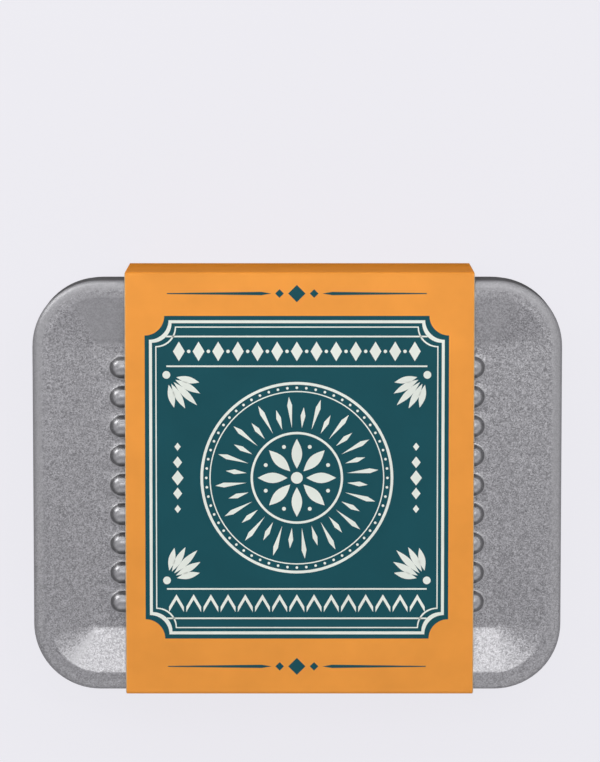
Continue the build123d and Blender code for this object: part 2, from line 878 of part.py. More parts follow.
def clipper_lever(clipper):
    """Pressed lever hooked under the cross pin, its cam bearing on the upper arm behind the post."""
    strip = clipper.strip
    plan = seen_from_above(clipper)
    top = clipper.pin_height - clipper.pin_radius - clipper_bearing_gap
    nose_u = clipper.post_from_jaws - 2.4 * clipper.post_radius
    cam_u = clipper.post_from_jaws + 2.2 * clipper.post_radius
    tail = clipper.lever_tail_height
    outline = lever_outline(clipper)
    with BuildPart() as lever:
        with BuildSketch(clipper_plane(clipper)):
            with BuildLine():
                Polyline(
                    (nose_u, top - 0.5 * strip),
                    (nose_u + strip, top),
                    (cam_u, top),
                    (cam_u + 2.5 * strip, top - 0.2 * strip),
                    (clipper.length - 4 * strip, tail),
                    (clipper.length, tail + 0.9 * strip),
                    (clipper.length, tail),
                    (clipper.length - 4 * strip, tail - strip),
                    (cam_u + 2.5 * strip, top - 1.2 * strip),
                    (cam_u + 0.7 * strip, top - 1.35 * strip),
                    (cam_u - 0.7 * strip, top - strip),
                    (nose_u, top - strip),
                    close=True,
                )
            make_face()
        extrude(amount=clipper.width / 2, both=True)
        add(outline, mode=Mode.INTERSECT)
        with BuildSketch(plan):
            with Locations((clipper.post_from_jaws, 0)):
                SlotCenterToCenter(
                    clipper.post_radius, 2 * (clipper.post_radius + 3 * clipper_bearing_gap)
                )
        extrude(amount=clipper.length, mode=Mode.SUBTRACT)
    return lever.part


for clipper in (large_clipper, small_clipper):
    keep(clipper_lower_arm(clipper), f"{clipper.name}_lower_arm")
    keep(clipper_upper_arm(clipper), f"{clipper.name}_upper_arm")
    keep(clipper_tail_rivet(clipper), f"{clipper.name}_tail_rivet")
    keep(clipper_post(clipper), f"{clipper.name}_post")
    keep(clipper_cross_pin(clipper), f"{clipper.name}_cross_pin")
    keep(clipper_lever(clipper), f"{clipper.name}_lever")


# --- Foam insert -------------------------------------------------------------------------
def at_level(plane, z):
    """The same plane, moved up or down to height z."""
    return Plane(origin=(plane.origin.X, plane.origin.Y, z), x_dir=plane.x_dir, z_dir=(0, 0, 1))


def clipper_pocket(clipper, z):
    """Outline of a clipper's pocket."""
    low_v = -clipper.post_head - pocket_gap
    high_v = clipper.lever_tail_height + clipper.strip + pocket_gap
    with BuildSketch(at_level(clipper_plane(clipper), z)) as pocket:
        with Locations((clipper.length / 2, (low_v + high_v) / 2)):
            RectangleRounded(clipper.length + 2 * pocket_gap, high_v - low_v, pocket_corner)
    return pocket.sketch


def clipper_notch(clipper, z):
    """Outline of the finger notch beside a clipper's middle."""
    with BuildSketch(at_level(clipper_plane(clipper), z)) as notch:
        with Locations((clipper.length / 2, clipper.jaw_height / 2)):
            Circle(finger_notch_radius + clipper.jaw_height / 2)
    return notch.sketch


def tweezers_pocket(z):
    """Outline of the tweezers' pocket, widest at their bow."""
    bow_radius = tweezers_bow + tweezers_strip + pocket_gap
    tip_radius = tweezers_tip_gap + tweezers_strip + pocket_gap
    with BuildSketch(at_level(tweezers_plane, z)) as pocket:
        Circle(tweezers_strip + pocket_gap)
        with Locations((tweezers_bow_share * tweezers_length, 0)):
            Circle(bow_radius)
        with Locations((tweezers_length - tip_radius + pocket_gap, 0)):
            Circle(tip_radius)
        make_hull()
    return pocket.sketch


def tweezers_notch(z):
    """Outline of the finger notch at the tweezers' grip."""
    with BuildSketch(at_level(tweezers_plane, z)) as notch:
        with Locations((0.4 * tweezers_length, -tweezers_bow)):
            Circle(finger_notch_radius)
    return notch.sketch


def nippers_joint_pocket(z):
    """Outline round the thick middle of the nippers at rest: their jaws, joint and bridges."""
    bridge_u, bridge_v, bridge_radius = nippers_handle_bridge[-1]
    jaw_v = nippers_jaw_length * sin(radians(nippers_spread)) + nippers_jaw_tip
    with BuildSketch(at_level(nippers_plane(0), z)) as pocket:
        Circle(nippers_joint_radius + 2 * pocket_gap)
        for way in (-1, 1):
            with Locations((nippers_jaw_length - pocket_gap, way * jaw_v)):
                Circle(2 * pocket_gap)
            with Locations(Vector(bridge_u, way * bridge_v).rotate(Axis.Z, -way * nippers_spread)):
                Circle(bridge_radius + pocket_gap)
        make_hull()
    return pocket.sketch


def nippers_handle_pocket(z):
    """Outline round the whole of the nippers at rest, out to the ends of their spread handles."""
    middle = Vector(-nippers_handle_length / 2, nippers_handle_bow)
    end = Vector(-nippers_handle_length, nippers_handle_end)
    with BuildSketch(at_level(nippers_plane(0), z)) as pocket:
        add(nippers_joint_pocket(0).moved(nippers_plane(0).location.inverse()))
        for way in (-1, 1):
            for point in (middle, end):
                corner = Vector(point.X, way * (point.Y - pocket_gap))
                with Locations(corner.rotate(Axis.Z, -way * nippers_spread)):
                    Circle(3 * pocket_gap)
        make_hull()
    return pocket.sketch


def scissors_pocket(z):
    """Outline the scissors need, shut and as the upper half swings open."""
    tip = Vector(-scissors_blade_length, 0)
    belly = tip / 2
    ring = Vector(scissors_ring_u, -scissors_ring_v)
    swing = [-scissors_opening * share for share in (0, 0.5, 1)]
    with BuildSketch(at_level(scissors_plane, z)) as ring_pocket:
        Circle(scissors_joint_radius + pocket_gap)
        with Locations((ring.X, -ring.Y), *[ring.rotate(Axis.Z, angle) for angle in swing]):
            Circle(scissors_ring_radius + scissors_ring_wire + pocket_gap)
        make_hull()
    with BuildSketch(at_level(scissors_plane, z)) as blade_pocket:
        Circle(scissors_joint_radius + pocket_gap)
        for angle in swing:
            with Locations(belly.rotate(Axis.Z, angle)):
                Circle(scissors_blade_width + pocket_gap)
            with Locations(tip.rotate(Axis.Z, angle)):
                Circle(2 * pocket_gap)
        make_hull()
    return ring_pocket.sketch + blade_pocket.sketch


with BuildPart() as foam_lower_layer:
    with BuildSketch(Plane.XY.offset(insert_bottom)):
        case_outline(insert_inset)
    extrude(amount=lower_layer_top - insert_bottom)
    chamfer(foam_lower_layer.faces().sort_by(Axis.Z)[0].edges(), insert_chamfer)
    depth = insert_top
    for clipper in (large_clipper, small_clipper):
        clipper_floor = lower_layer_top - 2 * seat_gap - clipper.width
        extrude(clipper_pocket(clipper, clipper_floor), amount=depth, mode=Mode.SUBTRACT)
        notch_floor = lower_layer_top - finger_notch_depth
        extrude(clipper_notch(clipper, notch_floor), amount=depth, mode=Mode.SUBTRACT)
    extrude(tweezers_pocket(tweezers_floor), amount=depth, mode=Mode.SUBTRACT)
    extrude(tweezers_notch(lower_layer_top - finger_notch_depth), amount=depth, mode=Mode.SUBTRACT)
    extrude(nippers_joint_pocket(nippers_floor), amount=depth, mode=Mode.SUBTRACT)
    extrude(nippers_handle_pocket(nippers_handle_floor), amount=depth, mode=Mode.SUBTRACT)
keep(foam_lower_layer.part, "foam_lower_layer")

with BuildPart() as foam_upper_layer:
    with BuildSketch(Plane.XY.offset(lower_layer_top)):
        case_outline(insert_inset)
    extrude(amount=insert_top - lower_layer_top)
    for cut_out in (
        clipper_pocket(large_clipper, lower_layer_top),
        clipper_notch(large_clipper, lower_layer_top),
        clipper_pocket(small_clipper, lower_layer_top),
        clipper_notch(small_clipper, lower_layer_top),
        tweezers_pocket(lower_layer_top),
        tweezers_notch(lower_layer_top),
        nippers_handle_pocket(lower_layer_top),
        scissors_pocket(lower_layer_top),
    ):
        extrude(cut_out, amount=insert_top - lower_layer_top, mode=Mode.SUBTRACT)
keep(foam_upper_layer.part, "foam_upper_layer")
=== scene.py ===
"""Visual model of a manicure set case: a pressed tin in a printed card band.

The tin's two shells and the card band are modelled here as smooth skins, and the band's
print as thin closed pieces on its face. The hinge, the tools and the foam are the CAD
solids in their own finishes. Sizes are in millimetres until a mesh is made.
"""

from math import atan2, pi, radians, sqrt, tan
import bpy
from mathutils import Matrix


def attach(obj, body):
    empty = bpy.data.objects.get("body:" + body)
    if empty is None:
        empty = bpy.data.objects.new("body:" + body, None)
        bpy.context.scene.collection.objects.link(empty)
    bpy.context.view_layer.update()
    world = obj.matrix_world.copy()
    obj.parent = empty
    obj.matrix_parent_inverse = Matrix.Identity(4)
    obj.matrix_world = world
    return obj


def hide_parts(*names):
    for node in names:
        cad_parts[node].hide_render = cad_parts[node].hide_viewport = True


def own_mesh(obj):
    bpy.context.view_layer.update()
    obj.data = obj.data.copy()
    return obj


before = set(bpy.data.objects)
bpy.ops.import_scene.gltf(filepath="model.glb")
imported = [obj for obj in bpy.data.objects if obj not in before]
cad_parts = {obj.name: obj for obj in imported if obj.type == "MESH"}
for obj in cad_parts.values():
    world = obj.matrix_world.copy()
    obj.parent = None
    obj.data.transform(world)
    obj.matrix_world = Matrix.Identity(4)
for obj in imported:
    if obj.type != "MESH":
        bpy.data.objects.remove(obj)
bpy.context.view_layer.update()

import bmesh
import bpy
import numpy as np
from mathutils import Vector

# Points nearer than the weld reach become one, and edges that turn by more than the sharp
# turn, in degrees, stay sharp. A hair tells a point from its neighbour.
MM = 0.001
weld_reach = 0.002
sharp_turn = 35.0
hair = 0.01

# --- Sizes of the tin, in millimetres ------------------------------------------------------
# The core is half of each side of the rectangle whose corners are the middles of the tin's
# round corners. Radius, slope, lean and neck are measured outward from it.
corner_radius = 17.0
core = (50.5, 35.6)
sheet = 0.5
case_top = 31.3
lid_bottom = 18.8
panel_top = 28.1
lid_edge_radius = 2.0
crest_flat_margin = 0.8
slope_start = 1.3
slope_end = 12.5
slope_foot_bend = 4.0
slope_top_bend = 2.5
base_bottom = 0.7
base_rim = 18.6
base_draft = 4.0
base_lean = (base_rim - base_bottom) * tan(radians(base_draft))
base_edge_radius = 3.0
base_panel = 2.2
neck_inset = 0.8
neck_top = 21.0
rib_count = 9
rib_pitch = 7.55
rib_radius = 2.6
rib_root = 0.6
rib_spine = 45.15

# --- Sizes of the band ---------------------------------------------------------------------
card = 0.4
band_left, band_right = -43.9, 45.1
band_front, band_back = -53.55, 54.85
card_top = 31.95
crease_radius = 0.7
cut_lean = 0.2
flap_start, flap_end = 9.0, 25.0
band_stations = 40

# --- Sizes of the print --------------------------------------------------------------------
ink_foot = card_top - 0.02
teal_top = card_top + 0.015
cream_top = card_top + 0.035
field_x, field_y = -0.1, 2.25
field_half_x, field_half_y = 38.7, 41.45
field_scoop = 5.0


# --- Paths and skins -----------------------------------------------------------------------
def unit(angles):
    """Unit vectors at angles: the cosine across and the sine up, in the last axis."""
    return np.stack([np.cos(angles), np.sin(angles)], -1)


def rounded_path(corners, steps=8):
    """Points along straight runs whose corners are rounded, as an array of (across, up).

    Each corner is (across, up, radius). Where two runs turn by an angle a, an arc of that
    radius touches both of them radius * tan(a / 2) from the corner.
    """
    parts = [np.array([corners[0][:2]])]
    for before, here, after in zip(corners, corners[1:], corners[2:]):
        corner, radius = np.array(here[:2]), here[2]
        way_in = atan2(here[1] - before[1], here[0] - before[0])
        way_out = atan2(after[1] - here[1], after[0] - here[0])
        turn = (way_out - way_in + pi) % (2 * pi) - pi
        side = 1 if turn > 0 else -1
        centre = corner - radius * abs(tan(turn / 2)) * unit(way_in)
        centre += side * radius * unit(way_in + pi / 2)
        angles = way_in - side * pi / 2 + turn * np.linspace(0, 1, steps + 1)
        parts.append(centre + radius * unit(angles) if radius else corner[None])
    parts.append(np.array([corners[-1][:2]]))
    return np.vstack(parts)


def offset_path(path, distance, closed=False):
    """The path moved to its left by distance: each point goes along the mean of the normals
    of its two runs, by distance / cos(half the turn between them)."""
    if closed:
        runs = np.roll(path, -1, 0) - path
    else:
        runs = np.diff(path, axis=0)
    runs /= np.linalg.norm(runs, axis=1)[:, None]
    normals = np.stack([-runs[:, 1], runs[:, 0]], 1)
    if closed:
        before, after = np.roll(normals, 1, 0), normals
    else:
        before = np.vstack([normals[:1], normals])
        after = np.vstack([normals, normals[-1:]])
    mean = before + after
    mean /= (mean * before).sum(1)[:, None]
    return path + distance * mean


def lathe_grid(anchors, outward, profile):
    """Rings of points: each ring is the anchors moved outward by the profile's first number
    and raised to its second. Rows follow the profile and columns the anchors."""
    flat = anchors[None] + profile[:, 0, None, None] * outward[None]
    heights = np.broadcast_to(profile[:, 1, None, None], flat.shape[:2] + (1,))
    return np.concatenate([flat, heights], 2)


def level_grid(xs, ys, level):
    """A level grid of points at every x (columns) and every y (rows)."""
    across, along = np.meshgrid(xs, ys)
    return np.stack([across, along, np.full_like(across, level)], 2)


def swept_grid(path, stations):
    """A grid that carries a path of (y, z) points along stations in x: one row each."""
    grid = np.empty((len(stations), len(path), 3))
    grid[:, :, 0] = stations[:, None]
    grid[:, :, 1:] = path[None]
    return grid


def closed_ring(ring):
    """The same ring with its first row repeated at its end."""
    return np.vstack([ring, ring[:1]])


def add_piece(name, points, faces, finish, numbers=0):
    """A piece of points in millimetres and faces of point numbers, with a material number for
    each face. Points that meet are welded, and the faces are turned outward."""
    mesh = bpy.data.meshes.new(name)
    mesh.from_pydata((np.concatenate(points) * MM).tolist(), [], faces)
    mesh.polygons.foreach_set("material_index", np.full(len(faces), numbers))
    for material in finish:
        mesh.materials.append(material)
    shape = bmesh.new()
    shape.from_mesh(mesh)
    bmesh.ops.remove_doubles(shape, verts=shape.verts, dist=weld_reach * MM)
    bmesh.ops.recalc_face_normals(shape, faces=shape.faces)
    shape.to_mesh(mesh)
    shape.free()
    piece = bpy.data.objects.new(name, mesh)
    bpy.context.scene.collection.objects.link(piece)
    return piece


def skin(name, grids, finish):
    """One smooth piece from grids of points, each (grid, material number): every four points
    that are neighbours in a grid make a face, and grids that share an edge are welded."""
    points, faces, numbers, count = [], [], [], 0
    for grid, number in grids:
        rows, columns = grid.shape[:2]
        corner = np.arange(rows - 1)[:, None] * columns + np.arange(columns - 1)
        corner = corner.ravel() + count
        faces.append(np.stack([corner, corner + 1, corner + columns + 1, corner + columns], 1))
        numbers.append(np.full(len(corner), number))
        points.append(grid.reshape(-1, 3))
        count += rows * columns
    faces = np.concatenate(faces).tolist()
    piece = add_piece(name, points, faces, finish, np.concatenate(numbers))
    piece.data.shade_smooth()
    piece.data.set_sharp_from_angle(angle=radians(sharp_turn))
    return piece


# --- Node trees ----------------------------------------------------------------------------
class Paint:
    """A material and the short calls that build its node tree."""

    def __init__(self, name, **finish):
        self.material = bpy.data.materials.new(name)
        self.material.use_nodes = True
        self.tree = self.material.node_tree
        self.surface = self.tree.nodes["Principled BSDF"]
        self.place = self.tree.nodes.new("ShaderNodeTexCoord").outputs["Object"]
        self.wear(**finish)

    def feed(self, node, socket, value):
        """Sets a socket, given by name or number, to a value, or joins it to another socket."""
        target = node.inputs[socket if isinstance(socket, int) else socket.replace("_", " ")]
        if isinstance(value, bpy.types.NodeSocket):
            self.tree.links.new(value, target)
        else:
            target.default_value = value

    def add(self, kind, *values, settings=(), **sockets):
        """A new node with its settings and its inputs, by number or by name."""
        node = self.tree.nodes.new("ShaderNode" + kind)
        for setting, value in dict(settings).items():
            setattr(node, setting, value)
        for number, value in enumerate(values):
            self.feed(node, number, value)
        for socket, value in sockets.items():
            self.feed(node, socket, value)
        return node

    def math(self, operation, *values):
        """One operation on numbers."""
        return self.add("Math", *values, settings={"operation": operation}).outputs[0]

    def vector(self, operation, *values, **sockets):
        """One operation on vectors."""
        node = self.add("VectorMath", *values, settings={"operation": operation}, **sockets)
        return node.outputs[0]

    def noise(self, scale, detail, roughness=0.5, place=None):
        """Soft noise from 0 to 1, with about as many lumps in a metre as the scale says."""
        node = self.add("TexNoise", Scale=scale, Detail=detail, Roughness=roughness,
                        Vector=place or self.place)
        return node.outputs["Fac"]

    def cells(self, scale, output="Color"):
        """Voronoi cells: a random colour for each, or the distance from its middle."""
        return self.add("TexVoronoi", Scale=scale, Vector=self.place).outputs[output]

    def stretched(self, x, y, z):
        """The place with its three axes scaled, for grain that runs along one of them."""
        return self.vector("MULTIPLY", self.place, (x, y, z))

    def parts(self, value, kind="Color"):
        """The three numbers of a colour, or of a vector with kind XYZ."""
        return self.add("Separate" + kind, value).outputs

    def mark(self, attribute):
        """A number that the mesh holds for each point."""
        return self.add("Attribute", settings={"attribute_name": attribute}).outputs["Fac"]

    def ramp(self, factor, *stops):
        """A colour ramp between two (position, colour) stops."""
        node = self.add("ValToRGB", factor)
        for element, (position, colour) in zip(node.color_ramp.elements, stops):
            element.position = position
            element.color = (*colour, 1)
        return node.outputs["Color"]

    def spread(self, factor, low, high, start=0.0, end=1.0):
        """The factor from start to end as a number from low to high."""
        return self.add("MapRange", factor, start, end, low, high).outputs[0]

    def bump(self, height, strength, depth, **base):
        """The normal of a surface, or of a base Normal, that the height pushes out by up to a
        depth in metres."""
        node = self.add("Bump", Height=height, Strength=strength, Distance=depth, **base)
        return node.outputs["Normal"]

    def wear(self, **finish):
        """Feeds sockets of the surface and returns the material."""
        for socket, value in finish.items():
            self.feed(self.surface, socket, value)
        return self.material


def speckled_tin():
    """Metallic paint: fine flakes, each with its own tilt and shade, over a dark base. The
    flakes lie flatter where the mesh says calm, and the finish is softer where it says dull."""
    paint = Paint("speckled_tin", Metallic=0.92)
    flakes = paint.cells(3600.0)
    calm = paint.mark("calm")
    shade = paint.math("MULTIPLY", paint.parts(flakes)[0], 0.6)
    mottle = paint.math("MULTIPLY", paint.noise(900.0, 3.0, 0.6), 0.6)
    mixed = paint.math("ADD", shade, mottle)
    rough = paint.ramp(mixed, (0.2, (0.115, 0.114, 0.118)), (0.95, (0.323, 0.320, 0.328)))
    even = (0.220, 0.219, 0.224, 1)
    tilt = paint.vector("SUBTRACT", flakes, (0.5, 0.5, 0.5))
    tilt = paint.vector("SCALE", tilt, Scale=paint.spread(calm, 0.13, 0.01))
    upright = paint.add("NewGeometry").outputs["Normal"]
    leaning = paint.vector("NORMALIZE", paint.vector("ADD", upright, tilt))
    return paint.wear(
        Base_Color=paint.add("MixRGB", paint.spread(calm, 0.0, 0.75), rough, even).outputs[0],
        Roughness=paint.spread(paint.mark("dull"), 0.34, 0.52),
        Normal=paint.bump(paint.noise(1500.0, 2.0), 0.08, 0.00008, Normal=leaning),
    )


def inked_card(name, colour, gloss):
    """Printed card: an even coat of ink with a very fine tooth and faint cloudiness. Round the
    fold to the back wall, over one crease radius in y, it is darkened with painted shade."""
    paint = Paint(name, Roughness=gloss, Specular_IOR_Level=0.1)
    darker = [part * 0.94 for part in colour]
    lighter = [part * 1.05 for part in colour]
    ink_and_painted_shade = paint.ramp(paint.noise(60.0, 3.0, 0.6), (0.3, darker), (0.7, lighter))
    y = paint.parts(paint.place, "XYZ")[1]
    # Painted shade: round the fold to the back wall the colour is multiplied by a darker tone.
    back_wall_shade_mask = paint.spread(y, 0.0, 1.0, (band_back - crease_radius) * MM, band_back * MM)
    back_wall_painted_shade = (0.58, 0.51, 0.21, 1)
    ink_and_painted_shade = paint.add("MixRGB", back_wall_shade_mask, ink_and_painted_shade, back_wall_painted_shade, settings={"blend_type": "MULTIPLY"})
    return paint.wear(
        Base_Color=ink_and_painted_shade.outputs[0],
        Normal=paint.bump(paint.noise(4000.0, 2.0), 0.08, 0.00004),
    )


def grey_board():
    """The unprinted inside of the card: grey recycled fibre."""
    paint = Paint("grey_board", Roughness=0.9)
    fibres = paint.noise(1.0, 4.0, 0.7, paint.stretched(500.0, 1500.0, 1500.0))
    return paint.wear(
        Base_Color=paint.ramp(fibres, (0.3, (0.36, 0.34, 0.31)), (0.7, (0.50, 0.48, 0.44))),
        Normal=paint.bump(fibres, 0.3, 0.00005),
    )


def card_core():
    """The cut edge of the card: pale pressed layers."""
    paint = Paint("card_core", Roughness=0.9)
    layers = paint.noise(1.0, 2.0, 0.5, paint.stretched(3000.0, 400.0, 400.0))
    return paint.wear(
        Base_Color=paint.ramp(layers, (0.3, (0.50, 0.36, 0.20)), (0.7, (0.66, 0.52, 0.34))),
    )


def tool_steel():
    """Satin stainless steel with a fine lengthwise grain and faint broader patches."""
    paint = Paint("tool_steel", Metallic=0.88)
    grain = paint.noise(1.0, 3.0, 0.6, paint.stretched(350.0, 3600.0, 3600.0))
    patches = paint.noise(90.0, 3.0, 0.6)
    return paint.wear(
        Base_Color=paint.ramp(patches, (0.3, (0.36, 0.36, 0.365)), (0.7, (0.41, 0.41, 0.415))),
        Roughness=paint.spread(grain, 0.33, 0.44, 0.3, 0.7),
        Normal=paint.bump(grain, 0.05, 0.00002),
    )


def bright_nickel():
    """Plated rivets, pins and springs: bright, with faint tumbling marks."""
    paint = Paint("bright_nickel", Metallic=0.95)
    marks = paint.noise(1800.0, 3.0, 0.6)
    return paint.wear(
        Base_Color=paint.ramp(marks, (0.3, (0.42, 0.414, 0.403)), (0.7, (0.45, 0.444, 0.43))),
        Roughness=paint.spread(marks, 0.28, 0.32, 0.3, 0.7),
    )


def hinge_steel():
    """Zinc-plated strip: dull, with crystalline patches."""
    paint = Paint("hinge_steel", Metallic=0.9)
    crystals = paint.parts(paint.cells(900.0))[0]
    return paint.wear(
        Base_Color=paint.ramp(crystals, (0.0, (0.21, 0.21, 0.215)), (1.0, (0.26, 0.26, 0.27))),
        Roughness=paint.spread(crystals, 0.32, 0.46),
    )


def flocked_foam():
    """Dense near-black foam with open pores."""
    paint = Paint("flocked_foam", Roughness=0.95)
    pores = paint.cells(1600.0, "Distance")
    fuzz = paint.noise(2500.0, 3.0, 0.7)
    return paint.wear(
        Base_Color=paint.ramp(fuzz, (0.3, (0.012, 0.012, 0.013)), (0.7, (0.030, 0.030, 0.032))),
        Normal=paint.bump(paint.math("ADD", pores, fuzz), 0.5, 0.0002),
    )


tin = speckled_tin()
orange_card = inked_card("orange_card", (0.88, 0.337, 0.058), 0.55)
teal_ink = inked_card("teal_ink", (0.008, 0.073, 0.0925), 0.5)
cream_ink = inked_card("cream_ink", (0.82, 0.86, 0.80), 0.5)
board = grey_board()
core_edge = card_core()


# --- Tin -----------------------------------------------------------------------------------
def rib_heights():
    """The middle line of each rib, as an array of y."""
    return (np.arange(rib_count) - (rib_count - 1) / 2) * rib_pitch


def rib_cell_ring():
    """Anchors along a rib's spine, outward directions round it, and the distance along
    each direction to the edge of the rib's rectangle of the panel."""
    half_height = rib_pitch / 2
    end_room = core[0] - rib_spine
    corner = atan2(half_height, end_room)
    fan = np.sort(np.append(np.linspace(-pi / 2, pi / 2, 25)[1:-1], (-corner, corner)))
    lower = np.linspace((-rib_spine, 0.0), (rib_spine, 0.0), 37)
    right = np.tile((rib_spine, 0.0), (len(fan), 1))
    down = np.tile((0.0, -1.0), (len(lower), 1))
    anchors = np.vstack([lower, right, lower[::-1], -right])
    outward = np.vstack([down, unit(fan), -down, -unit(fan)])
    with np.errstate(divide="ignore"):
        reach = np.min((end_room, half_height) / np.abs(outward), axis=1)
    return anchors, outward, reach


def rib_profile(inset):
    """Distance from the spine and height of a rib's skin: a half round of the rib's radius,
    which a hollow root fillet joins to the panel. Inset is 0 outside and the sheet inside."""
    outer, root = rib_radius - inset, rib_root + inset
    foot = sqrt((rib_radius + rib_root) ** 2 - rib_root**2)
    lean = atan2(rib_root, foot)
    crown = outer * unit(np.linspace(pi / 2, lean, 10))
    hollow = (foot, rib_root) - root * unit(np.linspace(lean, pi / 2, 5)[1:])
    profile = np.vstack([crown, hollow])
    profile[0, 0] = 0
    return profile + (0, panel_top)


def on_edge(points, side, place):
    """Where the points that lie at a place on one axis, 0 or 1, are on the other axis."""
    return points[np.abs(points[:, side] - place) < 1e-6, 1 - side]


def panel_grids(inset):
    """Grids of the ribbed panel: a cell for each rib and a plain strip along each long side.
    With them come the x of all points on a long edge and the y of those on a short one."""
    anchors, outward, reach = rib_cell_ring()
    profile = rib_profile(inset)
    level = panel_top - inset
    edge = anchors + reach[:, None] * outward
    grids = []
    for height in rib_heights():
        shift = (0.0, height)
        cell = lathe_grid(closed_ring(anchors + shift), closed_ring(outward), profile)
        border = closed_ring(edge + shift)
        border = np.column_stack([border, np.full(len(border), level)])
        grids.append(np.concatenate([cell, border[None]]))
    across = np.unique(np.round(on_edge(edge, 1, rib_pitch / 2), 6))
    for side in (-1, 1):
        strip = side * np.array((rib_count * rib_pitch / 2, core[1]))
        grids.append(level_grid(across, strip, level))
    along = on_edge(edge, 0, core[0]) + rib_heights()[:, None]
    along = np.unique(np.round(np.append(along, (-core[1], core[1])), 6))
    return grids, across, along


def core_ring(across, along):
    """Anchors round the core rectangle and the outward direction of each. A side's points all
    face one way, and its last point repeats while the direction fans on to the next side."""
    fan = np.linspace(0, pi / 2, 19)[1:-1]
    anchors, outward = [], []
    for quarter in range(4):
        turn = quarter * pi / 2
        way = np.round(unit(turn))
        steps = along if quarter % 2 == 0 else across
        side = core[quarter % 2] * way + steps[:, None] * (-way[1], way[0])
        anchors += [side, np.tile(side[-1], (len(fan), 1))]
        outward += [np.tile(way, (len(side), 1)), unit(turn + fan)]
    return closed_ring(np.vstack(anchors)), closed_ring(np.vstack(outward))


def fade(values, start, end, least=0.0):
    """(values - start) / (end - start), held between the least and 1."""
    return np.clip((values - start) / (end - start), least, 1)


def mark_paint(piece, rib_foot, crest_level):
    """Stores how calm and how dull the paint is at each point, both from 0 to 1.

    The roll of the rim is dull and calm, and its calm fades towards the front. The ribs are
    calm and a little dull. Calm in part are the crest, the slope by the hinge, the front
    slope and one narrow fan of the front left corner. Outside is the distance from the core
    rectangle, and angles round its corners run from 0 at a side to 90 at a long edge.
    """
    mesh = piece.data
    points = np.empty(len(mesh.vertices) * 3)
    mesh.vertices.foreach_get("co", points)
    x, y, z = (points.reshape(-1, 3) / MM).T
    past_x, past_y = np.maximum(np.abs(x) - core[0], 0), np.maximum(np.abs(y) - core[1], 0)
    outside = np.hypot(past_x, past_y)
    angle = np.degrees(np.arctan2(past_y, np.maximum(past_x, 1e-6)))
    drop = np.abs(z - crest_level)
    rib = (z > rib_foot + hair) & (outside == 0)
    rim = outside > corner_radius - lid_edge_radius - hair
    crest_start = slope_end + 0.5
    slope = (outside > 0) & (outside < crest_start)
    back, front = slope * (y > 0), slope * (y < 0)
    by_hinge = np.where(x < 0, 0.9, 0.5) * back * fade(angle, 48, 68)
    by_front = 0.35 * front * fade(angle, 40, 60)
    left_fan = front * (x < 0) * np.exp(-((angle - 54) / 11) ** 2)
    crest = 0.4 * (outside > crest_start) * (drop < 1)
    roll = rim * fade(drop, 2.7, 1.7) * fade(y, -50, 10, least=0.2)
    calm = np.maximum.reduce([rib, roll, by_hinge, by_front, left_fan, crest])
    dull = np.where(rib, 0.1, rim * fade(drop, 1.7, 1.1))
    for attribute, values in (("calm", calm), ("dull", dull)):
        mesh.attributes.new(attribute, "FLOAT", "POINT").data.foreach_set("value", values)


panel, across, along = panel_grids(0)
panel_inside, _, _ = panel_grids(sheet)
ring, ways = core_ring(across, along)


def pressing(name, outside, inside, panels):
    """A pressed shell of the tin: its outside, its inside and the edge between their last
    points, each carried round the core, and its panels."""
    rim = np.array([outside[-1], inside[-1]])
    walls = [lathe_grid(ring, ways, profile) for profile in (outside, inside, rim)]
    return skin(name, [(grid, 0) for grid in walls + panels], [tin])


lid_outside = rounded_path([
    (0, panel_top, 0),
    (slope_start, panel_top, slope_foot_bend),
    (slope_end, case_top, slope_top_bend),
    (corner_radius - lid_edge_radius - crest_flat_margin, case_top, 0),
    (corner_radius, case_top, lid_edge_radius),
    (corner_radius, lid_bottom, 0),
])
lid_inside = offset_path(lid_outside, -sheet)
lid_shell = pressing("lid_pressing", lid_outside, lid_inside, panel + panel_inside)
mark_paint(lid_shell, panel_top, case_top)
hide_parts("lid_shell")
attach(lid_shell, "lid")

base_outside = rounded_path([
    (0, base_panel, 0),
    (slope_start, base_panel, slope_foot_bend),
    (slope_end - base_lean, base_bottom, slope_top_bend),
    (corner_radius - base_lean, base_bottom, base_edge_radius),
    (corner_radius, base_rim, 0),
    (corner_radius - neck_inset, base_rim, 0),
    (corner_radius - neck_inset, neck_top, 0),
])
base_inside = offset_path(base_outside, sheet)
base_panels = [level_grid(across, along, level) for level in (base_panel, base_panel + sheet)]
base_shell = pressing("base_pressing", base_outside, base_inside, base_panels)
mark_paint(base_shell, case_top, base_bottom)
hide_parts("base_shell")
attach(base_shell, "base")


# --- Card band -----------------------------------------------------------------------------
seam_y = (band_front + band_back) / 2
loop = rounded_path([
    (seam_y, 0, 0),
    (band_back, 0, crease_radius),
    (band_back, card_top, crease_radius),
    (band_front, card_top, crease_radius),
    (band_front, 0, crease_radius),
    (seam_y, 0, 0),
])
inner_loop = closed_ring(offset_path(loop[:-1], card, closed=True))
flap = closed_ring(np.array([
    (flap_start, card), (flap_end, card), (flap_end, 2 * card), (flap_start, 2 * card),
]) - (0, hair))
stations = np.linspace(band_left, band_right, band_stations)
face_stations = np.linspace(band_left + cut_lean, band_right - cut_lean, band_stations)
outer_face = swept_grid(loop, face_stations)
inner_face = swept_grid(inner_loop, stations)
flap_face = swept_grid(flap, stations)
band_grids = [(outer_face, 0), (inner_face, 1), (flap_face, 1)]
for end in (0, -1):
    flap_cut = flap_face[end]
    band_grids.append((np.stack([outer_face[end], inner_face[end]]), 2))
    band_grids.append((np.stack([flap_cut[:2], flap_cut[[3, 2]]]), 2))
band = skin("card_sleeve", band_grids, [orange_card, board, core_edge])
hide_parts("card_band")
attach(band, "band")
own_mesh(band)


